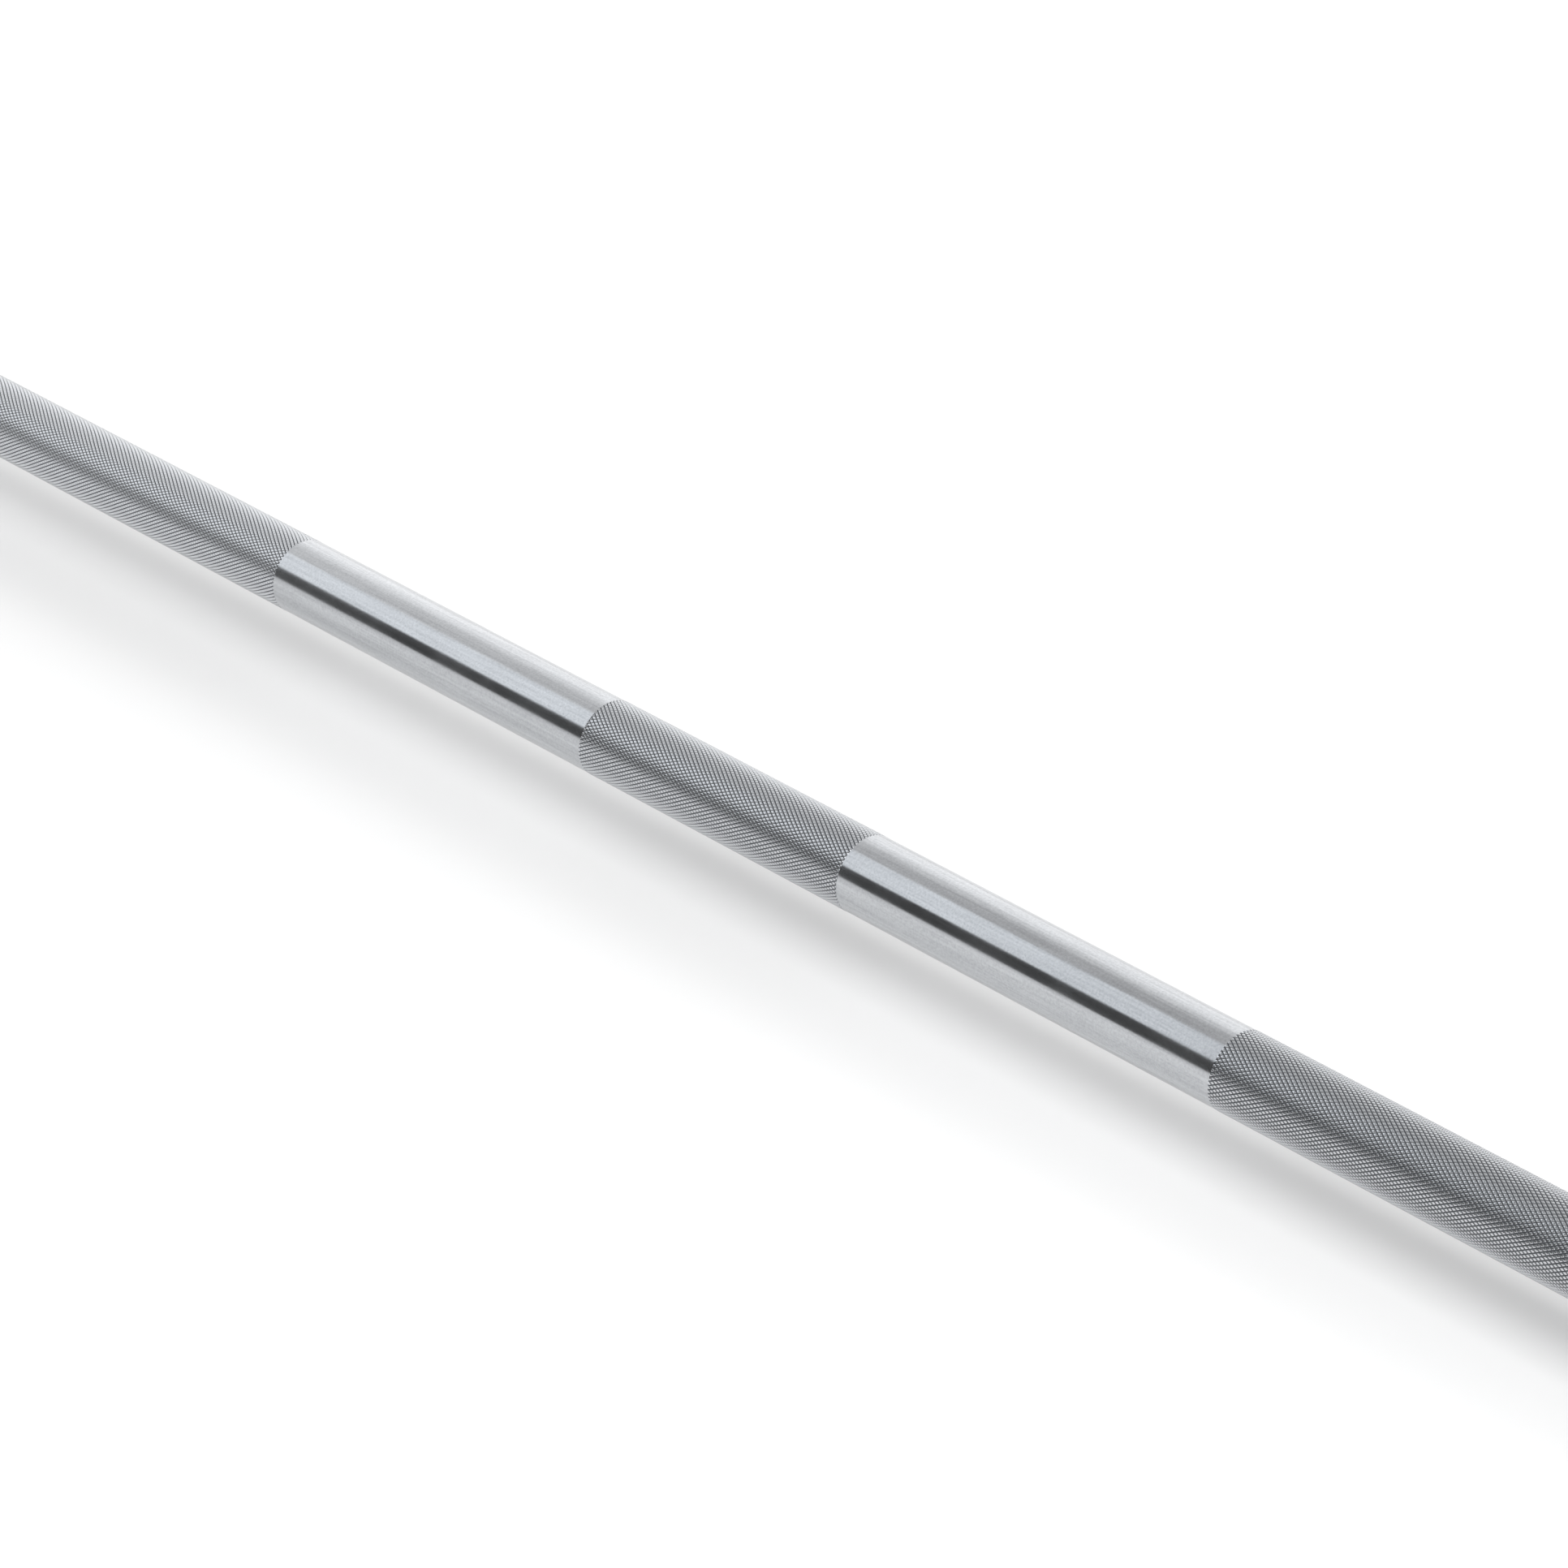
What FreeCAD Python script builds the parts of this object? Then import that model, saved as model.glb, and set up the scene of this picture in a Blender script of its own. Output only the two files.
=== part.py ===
"""Olympic barbell: one shaft with knurled grips and two free-turning sleeves.

Millimetres. The bar lies along X with its middle at the origin; Z is up. Every piece of a
sleeve is drawn for the right-hand end and turned half round Z for the left-hand end.
"""
import FreeCAD, Part
import os

import Sketcher

OUT = "parts"
TURN_ABOUT_Z = {"right": 0, "left": 180}

SIZES = {
    # shaft
    "collar_gap": 1310,
    "grip_diameter": 28.5,
    "knurl_rise": 0.1,
    "centre_knurl_length": 130,
    "smooth_band_length": 170,
    "ring_mark_spacing": 910,
    "ring_mark_width": 5,
    "knurl_end_gap": 4,
    "shoulder_inset": 7,
    "shoulder_height": 1.75,
    "shaft_end_bevel": 0.8,
    "centre_drill_diameter": 8,
    "centre_drill_depth": 7,
    # sleeve
    "loadable_length": 415,
    "sleeve_diameter": 50,
    "sleeve_end_bevel": 2,
    "seat_shoulder": 0.65,
    "spigot_wall": 3.5,
    "collar_thickness": 30,
    "collar_taper": 3,
    "collar_diameter": 76,
    "collar_edge_radius": 2.5,
    # bushings and washers
    "flange_rim": 2.5,
    "flange_thickness": 3,
    "bushing_length": 25,
    "bushing_clearance": 0.05,
    "washer_thickness": 1.5,
    "washer_clearance": 0.1,
    "washer_rim_gap": 0.6,
    "end_play": 0.15,
    # dust seal
    "seal_recess": 0.8,
    "seal_width": 4.5,
    "seal_clearance": 0.1,
    "seal_lip": 1.2,
    # needle bearings
    "needle_count": 20,
    "needle_diameter": 2.5,
    "needle_length": 14,
    "needle_clearance": 0.02,
    "cup_wall": 1,
    "cup_lip": 0.8,
    "cup_lip_gap": 0.35,
    "cup_length": 20,
    "cage_gap": 0.2,
    "cage_play": 0.2,
    "pocket_play": 0.1,
    # snap rings
    "shaft_groove_depth": 0.55,
    "shaft_groove_width": 1.3,
    "shaft_groove_land": 4,
    "shaft_ring_thickness": 1.2,
    "shaft_ring_width": 3.1,
    "cap_groove_depth": 1.2,
    "cap_groove_width": 1.85,
    "cap_groove_land": 3,
    "cap_ring_thickness": 1.75,
    "cap_ring_width": 3.4,
    "ring_gap": 6,
    "lug_radius": 2.3,
    "plier_hole_diameter": 2,
    # end cap
    "cap_seat_rim": 1.5,
    "cap_thickness": 5,
    "cap_bevel": 0.5,
    "cap_dish_depth": 0.6,
    "cap_dish_rim": 7,
    "shaft_end_gap": 1.5,
}

# Radii, as expressions on the sheet
GRIP = "Sizes.grip_diameter / 2"
KNURL = f"({GRIP} + Sizes.knurl_rise)"
JOURNAL = f"({GRIP} - Sizes.shoulder_height)"
PITCH = f"({JOURNAL} + Sizes.needle_clearance + Sizes.needle_diameter / 2)"
RACEWAY = f"({JOURNAL} + 2 * Sizes.needle_clearance + Sizes.needle_diameter)"
SEAT = f"({RACEWAY} + Sizes.cup_wall)"
FLANGE = f"({SEAT} + Sizes.flange_rim)"
BORE = f"({SEAT} - Sizes.seat_shoulder)"
SPIGOT = f"({FLANGE} + Sizes.spigot_wall)"
SLEEVE = "Sizes.sleeve_diameter / 2"
COLLAR = "Sizes.collar_diameter / 2"
CAP = f"({FLANGE} + Sizes.cap_seat_rim)"
CAP_GROOVE = f"({CAP} + Sizes.cap_groove_depth)"
SHAFT_GROOVE = f"({JOURNAL} - Sizes.shaft_groove_depth)"
CAGE_INSIDE = f"({JOURNAL} + Sizes.cage_gap)"
CAGE_OUTSIDE = f"({RACEWAY} - Sizes.cage_gap)"
LIP = f"({JOURNAL} + Sizes.cup_lip_gap)"

# Stations along the bar, from the middle outwards
KNURL_START = "(Sizes.centre_knurl_length / 2 + Sizes.smooth_band_length)"
RING_MARK_START = "(Sizes.ring_mark_spacing - Sizes.ring_mark_width) / 2"
RING_MARK_STOP = "(Sizes.ring_mark_spacing + Sizes.ring_mark_width) / 2"
COLLAR_FACE = "Sizes.collar_gap / 2"
KNURL_STOP = f"({COLLAR_FACE} - Sizes.knurl_end_gap)"
COLLAR_STOP = f"({COLLAR_FACE} + Sizes.collar_thickness)"
SPIGOT_STOP = f"({COLLAR_STOP} - Sizes.collar_taper)"
SLEEVE_END = f"({COLLAR_STOP} + Sizes.loadable_length)"
SHOULDER = f"({COLLAR_FACE} + Sizes.shoulder_inset)"
INNER_WASHER_STOP = f"({SHOULDER} + Sizes.washer_thickness)"
INNER_FLANGE_START = f"({INNER_WASHER_STOP} + Sizes.end_play)"
INNER_FLANGE_SEAT = f"({INNER_FLANGE_START} + Sizes.flange_thickness)"
INNER_CUP_START = f"({INNER_FLANGE_SEAT} + Sizes.bushing_length)"
INNER_SEAT_STOP = f"({INNER_CUP_START} + Sizes.cup_length)"
CAP_GROOVE_STOP = f"({SLEEVE_END} - Sizes.cap_groove_land)"
CAP_FACE = f"({CAP_GROOVE_STOP} - Sizes.cap_groove_width)"
CAP_SEAT = f"({CAP_FACE} - Sizes.cap_thickness)"
SHAFT_END = f"({CAP_SEAT} - Sizes.shaft_end_gap)"
SHAFT_GROOVE_STOP = f"({SHAFT_END} - Sizes.shaft_groove_land)"
SHAFT_GROOVE_START = f"({SHAFT_GROOVE_STOP} - Sizes.shaft_groove_width)"
SHAFT_RING_START = f"({SHAFT_GROOVE_STOP} - Sizes.shaft_ring_thickness)"
OUTER_WASHER_START = f"({SHAFT_RING_START} - Sizes.washer_thickness)"
OUTER_FLANGE_STOP = f"({OUTER_WASHER_START} - Sizes.end_play)"
OUTER_FLANGE_SEAT = f"({OUTER_FLANGE_STOP} - Sizes.flange_thickness)"
OUTER_CUP_STOP = f"({OUTER_FLANGE_SEAT} - Sizes.bushing_length)"
OUTER_CUP_START = f"({OUTER_CUP_STOP} - Sizes.cup_length)"

doc = FreeCAD.newDocument("olympic_barbell")
sheet = doc.addObject("Spreadsheet::Sheet", "Sizes")
for row, (name, size) in enumerate(SIZES.items(), start=1):
    sheet.set(f"A{row}", name)
    sheet.set(f"B{row}", str(size))
    sheet.setAlias(f"B{row}", name)
doc.recompute()

pieces = []


def now(expression):
    """What an expression on the sheet comes to at present."""
    return float(sheet.evalExpression(expression))


def new_body(label, side="right"):
    """An empty body for one piece, turned to its end of the bar."""
    body = doc.addObject("PartDesign::Body", label)
    body.Label = label
    half_turn = FreeCAD.Rotation(FreeCAD.Vector(0, 0, 1), TURN_ABOUT_Z[side])
    body.Placement = FreeCAD.Placement(FreeCAD.Vector(), half_turn)
    pieces.append(body)
    return body


def origin_feature(body, role):
    return next(f for f in body.Origin.OriginFeatures if f.Role == role)


def new_sketch(body, plane, name, offset=None):
    """A sketch on one of the body's planes, moved along the plane's normal if asked."""
    sketch = body.newObject("Sketcher::SketchObject", f"{body.Name}_{name}")
    sketch.AttachmentSupport = [(origin_feature(body, plane), "")]
    sketch.MapMode = "FlatFace"
    if offset:
        sketch.setExpression("AttachmentOffset.Base.z", offset)
    return sketch


def drive(sketch, constraint, expression):
    sketch.setExpression(f"Constraints[{sketch.addConstraint(constraint)}]", expression)


def place_point(sketch, line, end, across, up):
    """Ties one point of the sketch to the origin by two expressions; "0" is on the axis."""
    for kind, axis, expression in (("DistanceX", -2, across), ("DistanceY", -1, up)):
        if expression == "0":
            sketch.addConstraint(Sketcher.Constraint("PointOnObject", line, end, axis))
        else:
            distance = Sketcher.Constraint(kind, -1, 1, line, end, now(expression))
            drive(sketch, distance, expression)


def draw_outline(sketch, corners):
    """A closed outline of straight lines through corners given as pairs of expressions."""
    points = [FreeCAD.Vector(now(across), now(up), 0) for across, up in corners]
    ahead = points[1:] + points[:1]
    lines = [sketch.addGeometry(Part.LineSegment(a, b)) for a, b in zip(points, ahead)]
    for line, after in zip(lines, lines[1:] + lines[:1]):
        sketch.addConstraint(Sketcher.Constraint("Coincident", line, 2, after, 1))
    for line, (across, up) in zip(lines, corners):
        place_point(sketch, line, 1, across, up)


def turned(body, corners):
    """A lathe shape: the outline of (station, radius) corners turned about the bar's axis."""
    sketch = new_sketch(body, "XY_Plane", "profile")
    draw_outline(sketch, corners)
    doc.recompute()
    turning = body.newObject("PartDesign::Revolution", f"{body.Name}_turning")
    turning.Profile = sketch
    turning.ReferenceAxis = (sketch, ["H_Axis"])
    turning.Angle = 360
    doc.recompute()
    return turning


def ring_outline(start, stop, inside, outside):
    return [(start, inside), (start, outside), (stop, outside), (stop, inside)]


def around_bar(body, feature, count):
    """Repeats a feature evenly round the bar's axis."""
    pattern = body.newObject("PartDesign::PolarPattern", f"{body.Name}_pattern")
    pattern.Originals = [feature]
    pattern.Axis = (origin_feature(body, "X_Axis"), [""])
    pattern.Angle = 360
    pattern.setExpression("Occurrences", count)
    body.Tip = pattern
    doc.recompute()


def dress_edges(body, kind, size_name, size, base, wanted):
    """A fillet or chamfer on the edges of the base that the test picks out."""
    names = [f"Edge{k}" for k, edge in enumerate(base.Shape.Edges, 1) if wanted(edge)]
    dressed = body.newObject(f"PartDesign::{kind}", f"{body.Name}_{kind.lower()}")
    dressed.Base = (base, names)
    dressed.setExpression(size_name, size)
    doc.recompute()


def is_rim(edge, radius):
    return isinstance(edge.Curve, Part.Circle) and abs(edge.Curve.Radius - radius) < 1e-6


def make_shaft():
    body = new_body("shaft")
    turning = turned(
        body,
        [
            ("0", "0"),
            ("0", KNURL),
            ("Sizes.centre_knurl_length / 2", KNURL),
            ("Sizes.centre_knurl_length / 2", GRIP),
            (KNURL_START, GRIP),
            (KNURL_START, KNURL),
            (RING_MARK_START, KNURL),
            (RING_MARK_START, GRIP),
            (RING_MARK_STOP, GRIP),
            (RING_MARK_STOP, KNURL),
            (KNURL_STOP, KNURL),
            (KNURL_STOP, GRIP),
            (SHOULDER, GRIP),
            (SHOULDER, JOURNAL),
            (SHAFT_GROOVE_START, JOURNAL),
            (SHAFT_GROOVE_START, SHAFT_GROOVE),
            (SHAFT_GROOVE_STOP, SHAFT_GROOVE),
            (SHAFT_GROOVE_STOP, JOURNAL),
            (f"{SHAFT_END} - Sizes.shaft_end_bevel", JOURNAL),
            (SHAFT_END, f"{JOURNAL} - Sizes.shaft_end_bevel"),
            (SHAFT_END, "Sizes.centre_drill_diameter / 2"),
            (f"{SHAFT_END} - Sizes.centre_drill_depth", "0"),
        ],
    )
    other_half = body.newObject("PartDesign::Mirrored", "shaft_other_half")
    other_half.Originals = [turning]
    other_half.MirrorPlane = (origin_feature(body, "YZ_Plane"), [""])
    body.Tip = other_half
    doc.recompute()


def make_sleeve_tube(side):
    turned(
        new_body(f"{side}_sleeve_tube", side),
        [
            (COLLAR_FACE, FLANGE),
            (COLLAR_FACE, SPIGOT),
            (SPIGOT_STOP, SPIGOT),
            (COLLAR_STOP, SLEEVE),
            (f"{SLEEVE_END} - Sizes.sleeve_end_bevel", SLEEVE),
            (SLEEVE_END, f"{SLEEVE} - Sizes.sleeve_end_bevel"),
            (SLEEVE_END, CAP),
            (CAP_GROOVE_STOP, CAP),
            (CAP_GROOVE_STOP, CAP_GROOVE),
            (CAP_FACE, CAP_GROOVE),
            (CAP_FACE, CAP),
            (CAP_SEAT, CAP),
            (CAP_SEAT, FLANGE),
            (OUTER_FLANGE_SEAT, FLANGE),
            (OUTER_FLANGE_SEAT, SEAT),
            (OUTER_CUP_START, SEAT),
            (OUTER_CUP_START, BORE),
            (INNER_SEAT_STOP, BORE),
            (INNER_SEAT_STOP, SEAT),
            (INNER_FLANGE_SEAT, SEAT),
            (INNER_FLANGE_SEAT, FLANGE),
        ],
    )


def make_sleeve_collar(side):
    body = new_body(f"{side}_sleeve_collar", side)
    ring = turned(
        body,
        [
            (COLLAR_FACE, SPIGOT),
            (COLLAR_FACE, COLLAR),
            (COLLAR_STOP, COLLAR),
            (COLLAR_STOP, SLEEVE),
            (SPIGOT_STOP, SPIGOT),
        ],
    )
    rim = now(COLLAR)
    dress_edges(
        body, "Fillet", "Radius", "Sizes.collar_edge_radius", ring, lambda e: is_rim(e, rim)
    )


def make_dust_seal(side):
    start = f"({COLLAR_FACE} + Sizes.seal_recess)"
    lip = f"({GRIP} + Sizes.seal_clearance)"
    turned(
        new_body(f"{side}_dust_seal", side),
        [
            (start, f"{lip} + Sizes.seal_lip"),
            (start, FLANGE),
            (f"{start} + Sizes.seal_width", FLANGE),
            (f"{start} + Sizes.seal_width", lip),
            (f"{start} + Sizes.seal_lip", lip),
        ],
    )


def make_thrust_washer(side, end, start):
    inside = f"({JOURNAL} + Sizes.washer_clearance)"
    outside = f"({FLANGE} - Sizes.washer_rim_gap)"
    stop = f"{start} + Sizes.washer_thickness"
    body = new_body(f"{side}_{end}_thrust_washer", side)
    turned(body, ring_outline(start, stop, inside, outside))


def make_bushing(side, end, flange_face, flange_seat, body_end):
    inside = f"({JOURNAL} + Sizes.bushing_clearance)"
    turned(
        new_body(f"{side}_{end}_bushing", side),
        [
            (flange_face, inside),
            (flange_face, FLANGE),
            (flange_seat, FLANGE),
            (flange_seat, SEAT),
            (body_end, SEAT),
            (body_end, inside),
        ],
    )


def make_bearing_cup(side, end, start):
    stop = f"({start} + Sizes.cup_length)"
    turned(
        new_body(f"{side}_{end}_bearing_cup", side),
        [
            (start, LIP),
            (start, SEAT),
            (stop, SEAT),
            (stop, LIP),
            (f"{stop} - Sizes.cup_lip", LIP),
            (f"{stop} - Sizes.cup_lip", RACEWAY),
            (f"{start} + Sizes.cup_lip", RACEWAY),
            (f"{start} + Sizes.cup_lip", LIP),
        ],
    )


def make_bearing_cage(side, end, cup_start):
    start = f"({cup_start} + Sizes.cup_lip + Sizes.cage_play)"
    stop = f"({cup_start} + Sizes.cup_length - Sizes.cup_lip - Sizes.cage_play)"
    middle = f"({cup_start} + Sizes.cup_length / 2)"
    half_long = "(Sizes.needle_length / 2 + Sizes.pocket_play)"
    half_wide = "(Sizes.needle_diameter / 2 + Sizes.pocket_play)"
    body = new_body(f"{side}_{end}_bearing_cage", side)
    turned(body, ring_outline(start, stop, CAGE_INSIDE, CAGE_OUTSIDE))
    window = new_sketch(body, "XY_Plane", "window")
    draw_outline(
        window,
        ring_outline(
            f"{middle} - {half_long}", f"{middle} + {half_long}", f"-{half_wide}", half_wide
        ),
    )
    doc.recompute()
    pocket = body.newObject("PartDesign::Pocket", f"{body.Name}_pocket")
    pocket.Profile = window
    pocket.Reversed = True
    pocket.setExpression("Length", f"{RACEWAY}")
    doc.recompute()
    around_bar(body, pocket, "Sizes.needle_count")


def make_bearing_needles(side, end, cup_start):
    start = f"{cup_start} + (Sizes.cup_length - Sizes.needle_length) / 2"
    body = new_body(f"{side}_{end}_bearing_needles", side)
    body.AllowCompound = True
    section = new_sketch(body, "YZ_Plane", "section", start)
    centre, axis = FreeCAD.Vector(0, now(PITCH), 0), FreeCAD.Vector(0, 0, 1)
    radius = now("Sizes.needle_diameter / 2")
    circle = section.addGeometry(Part.Circle(centre, axis, radius))
    place_point(section, circle, 3, "0", PITCH)
    round_size = Sketcher.Constraint("Diameter", circle, 2 * radius)
    drive(section, round_size, "Sizes.needle_diameter")
    doc.recompute()
    needle = body.newObject("PartDesign::Pad", f"{body.Name}_needle")
    needle.Profile = section
    needle.setExpression("Length", "Sizes.needle_length")
    doc.recompute()
    around_bar(body, needle, "Sizes.needle_count")


def disc(name, start, thickness, radius, across="0", up="0"):
    """A cylinder along the bar, off the axis by the two expressions."""
    cylinder = doc.addObject("Part::Cylinder", name)
    along_x = FreeCAD.Rotation(FreeCAD.Vector(0, 1, 0), 90)
    cylinder.Placement = FreeCAD.Placement(FreeCAD.Vector(), along_x)
    cylinder.setExpression("Radius", radius)
    cylinder.setExpression("Height", thickness)
    cylinder.setExpression("Placement.Base.x", start)
    cylinder.setExpression("Placement.Base.y", across)
    cylinder.setExpression("Placement.Base.z", up)
    return cylinder


def make_snap_ring(label, side, start, thickness, inside, outside, lug_height):
    """A sprung ring, open at the top, with a drilled lug for pliers beside the opening."""
    lug_offset = "(Sizes.ring_gap / 2 + Sizes.lug_radius)"
    hole = "Sizes.plier_hole_diameter / 2"
    full = disc(f"{label}_full", start, thickness, outside)
    centre = disc(f"{label}_centre", start, thickness, inside)
    lugs = [
        disc(f"{label}_lug_{k}", start, thickness, "Sizes.lug_radius", across, lug_height)
        for k, across in enumerate((lug_offset, f"-{lug_offset}"))
    ]
    holes = [
        disc(f"{label}_hole_{k}", start, thickness, hole, across, lug_height)
        for k, across in enumerate((lug_offset, f"-{lug_offset}"))
    ]
    opening = doc.addObject("Part::Box", f"{label}_opening")
    opening.setExpression("Length", thickness)
    opening.setExpression("Width", "Sizes.ring_gap")
    opening.setExpression("Height", outside)
    opening.setExpression("Placement.Base.x", start)
    opening.setExpression("Placement.Base.y", "-Sizes.ring_gap / 2")
    band = doc.addObject("Part::Cut", f"{label}_band")
    band.Base, band.Tool = full, centre
    eared = doc.addObject("Part::MultiFuse", f"{label}_eared")
    eared.Shapes = [band, *lugs]
    cutters = doc.addObject("Part::MultiFuse", f"{label}_cutters")
    cutters.Shapes = [opening, *holes]
    ring = doc.addObject("Part::Cut", label)
    ring.Label = label
    ring.Base, ring.Tool = eared, cutters
    half_turn = FreeCAD.Rotation(FreeCAD.Vector(0, 0, 1), TURN_ABOUT_Z[side])
    ring.Placement = FreeCAD.Placement(FreeCAD.Vector(), half_turn)
    doc.recompute()
    pieces.append(ring)


def make_end_cap(side):
    dish = f"({CAP} - Sizes.cap_dish_rim)"
    turned(
        new_body(f"{side}_end_cap", side),
        [
            (CAP_SEAT, "0"),
            (CAP_SEAT, CAP),
            (f"{CAP_FACE} - Sizes.cap_bevel", CAP),
            (CAP_FACE, f"{CAP} - Sizes.cap_bevel"),
            (CAP_FACE, dish),
            (f"{CAP_FACE} - Sizes.cap_dish_depth", f"{dish} - Sizes.cap_dish_depth"),
            (f"{CAP_FACE} - Sizes.cap_dish_depth", "0"),
        ],
    )


def make_end(side):
    """Everything that sits on one end of the shaft."""
    make_sleeve_tube(side)
    make_sleeve_collar(side)
    make_dust_seal(side)
    make_thrust_washer(side, "inner", SHOULDER)
    make_thrust_washer(side, "outer", OUTER_WASHER_START)
    make_bushing(side, "inner", INNER_FLANGE_START, INNER_FLANGE_SEAT, INNER_CUP_START)
    make_bushing(side, "outer", OUTER_FLANGE_STOP, OUTER_FLANGE_SEAT, OUTER_CUP_STOP)
    for end, cup_start in (("inner", INNER_CUP_START), ("outer", OUTER_CUP_START)):
        make_bearing_cup(side, end, cup_start)
        make_bearing_cage(side, end, cup_start)
        make_bearing_needles(side, end, cup_start)
    make_snap_ring(
        f"{side}_shaft_snap_ring",
        side,
        SHAFT_RING_START,
        "Sizes.shaft_ring_thickness",
        SHAFT_GROOVE,
        f"({SHAFT_GROOVE} + Sizes.shaft_ring_width)",
        f"({SHAFT_GROOVE} + Sizes.shaft_ring_width - Sizes.lug_radius / 2)",
    )
    make_snap_ring(
        f"{side}_end_cap_snap_ring",
        side,
        CAP_FACE,
        "Sizes.cap_ring_thickness",
        f"({CAP_GROOVE} - Sizes.cap_ring_width)",
        CAP_GROOVE,
        f"({CAP_GROOVE} - Sizes.cap_ring_width - Sizes.lug_radius / 2)",
    )
    make_end_cap(side)


make_shaft()
for side in TURN_ABOUT_Z:
    make_end(side)

doc.recompute()
for item in doc.Objects:
    if {"Invalid", "Error"} & set(item.State):
        raise RuntimeError(f"{item.Label} did not build: {item.State}")
for piece in pieces:
    if piece.Shape.isNull() or not piece.Shape.isValid():
        raise RuntimeError(f"{piece.Label} has no sound shape")

os.makedirs(OUT, exist_ok=True)
for piece in pieces:
    piece.Shape.exportStep(os.path.join(OUT, f"{piece.Label}.step"))
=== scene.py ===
"""Olympic barbell: the visible pieces and finishes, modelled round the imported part."""

import math

import bpy
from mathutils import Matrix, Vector


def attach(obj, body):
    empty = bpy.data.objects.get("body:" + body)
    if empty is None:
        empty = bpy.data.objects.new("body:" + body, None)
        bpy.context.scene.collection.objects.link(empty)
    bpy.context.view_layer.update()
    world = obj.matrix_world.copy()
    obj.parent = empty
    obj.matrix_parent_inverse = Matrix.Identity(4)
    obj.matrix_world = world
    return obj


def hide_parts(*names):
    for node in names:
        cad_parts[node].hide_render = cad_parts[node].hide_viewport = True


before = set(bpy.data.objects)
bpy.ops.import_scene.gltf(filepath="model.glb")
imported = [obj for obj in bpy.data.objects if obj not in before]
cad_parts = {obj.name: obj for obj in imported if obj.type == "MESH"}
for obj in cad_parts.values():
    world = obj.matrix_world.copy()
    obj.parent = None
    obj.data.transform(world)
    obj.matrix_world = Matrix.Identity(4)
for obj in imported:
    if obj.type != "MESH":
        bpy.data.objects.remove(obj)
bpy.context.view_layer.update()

MM = 0.001
SEGMENTS = 192
FUSE = 0.001 * MM

# Stations along the bar from its middle, and radii, in millimetres, as in the CAD
SHAFT_RADIUS = 14.25
KNURL_RADIUS = 14.35
CENTRE_KNURL_END = 65.0
GRIP_START = 235.0
RING_MARK_START = 452.5
RING_MARK_END = 457.5
GRIP_END = 651.0
SHOULDER = 662.0
JOURNAL_RADIUS = 12.5
RING_GROOVE_RADIUS = 11.95
RING_GROOVE_START = 1083.35
RING_GROOVE_END = 1084.65
SHAFT_END = 1088.65
SLEEVE_START = 655.0
COLLAR_TAPER_START = 682.0
COLLAR_FACE = 685.0
SLEEVE_END = 1100.0
SLEEVE_RADIUS = 25.0
SPIGOT_RADIUS = 22.04
COLLAR_RADIUS = 38.0
FLANGE_BORE = 18.54
SEAT_BORE = 16.04
CLEAR_BORE = 15.39
CAP_BORE = 20.04
CAP_GROOVE = 21.24
CAP_START = 1090.15
CAP_END = 1095.15
CAP_GROOVE_END = 1097.0

# The knurl, in millimetres: rows of diamonds round the bar, the length of one, the depth of the
# grooves, how much of a diamond's width its top takes, and the height of the low dome on the top.
# Edges flatter than ROUNDED_BELOW degrees are shaded smooth, so the dome is and the grooves aren't
ROWS = 58
DIAMOND_LENGTH = 2.6
GROOVE_DEPTH = 0.3
LAND_SHARE = 0.62
CROWN = 0.11
ROUNDED_BELOW = 31

# Sockets of a Mix node set to colours
COLOUR_A, COLOUR_B, MIXED_COLOUR = 6, 7, 2


# Small helpers


def linear(hex_colour):
    """An sRGB hex colour as the linear RGBA that a socket takes."""
    parts = [int(hex_colour[i : i + 2], 16) / 255 for i in (1, 3, 5)]
    return [c / 12.92 if c <= 0.04045 else ((c + 0.055) / 1.055) ** 2.4 for c in parts] + [1.0]


def add_node(tree, kind, inputs=(), **settings):
    """Adds a node with its settings; an input takes a plain value or another node's output."""
    made = tree.nodes.new(kind)
    for name, value in settings.items():
        setattr(made, name, value)
    for name, value in dict(inputs).items():
        if isinstance(value, bpy.types.NodeSocket):
            tree.links.new(value, made.inputs[name])
        else:
            made.inputs[name].default_value = value
    return made


def new_material(name):
    """An empty material and its node tree."""
    material = bpy.data.materials.new(name)
    material.use_nodes = True
    material.node_tree.nodes.clear()
    return material, material.node_tree


def pick(piece):
    """Makes one object the only selected one, and the active one."""
    bpy.ops.object.select_all(action="DESELECT")
    piece.select_set(True)
    bpy.context.view_layer.objects.active = piece


def edit(piece):
    pick(piece)
    bpy.ops.object.mode_set(mode="EDIT")
    bpy.ops.mesh.select_all(action="SELECT")


def done_editing():
    bpy.ops.object.mode_set(mode="OBJECT")


def added(name):
    """The primitive that was just added, under its piece's name."""
    piece = bpy.context.view_layer.objects.active
    piece.name = piece.data.name = name
    return piece


def smooth(piece, angle):
    pick(piece)
    bpy.ops.object.shade_smooth_by_angle(angle=math.radians(angle))


def apply_modifier(piece, kind, **settings):
    pick(piece)
    bpy.ops.object.modifier_add(type=kind)
    modifier = piece.modifiers[-1]
    for name, value in settings.items():
        setattr(modifier, name, value)
    bpy.ops.object.modifier_apply(modifier=modifier.name)


def turn_to_left(piece):
    """A copy of a right-hand piece, turned half round the upright axis to the left end."""
    pick(piece)
    bpy.ops.object.duplicate()
    copy = added(piece.name.replace("right", "left"))
    copy.rotation_euler = (0.0, 0.0, math.pi)
    bpy.ops.object.transform_apply(location=False, rotation=True, scale=False)
    return copy


def place(piece, body, material, slot, node):
    """Gives a finished piece its material and body, and hides the CAD node it stands for."""
    piece.data.materials.clear()
    piece.data.materials.append(material)
    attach(piece, body)
    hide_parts(node)


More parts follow.
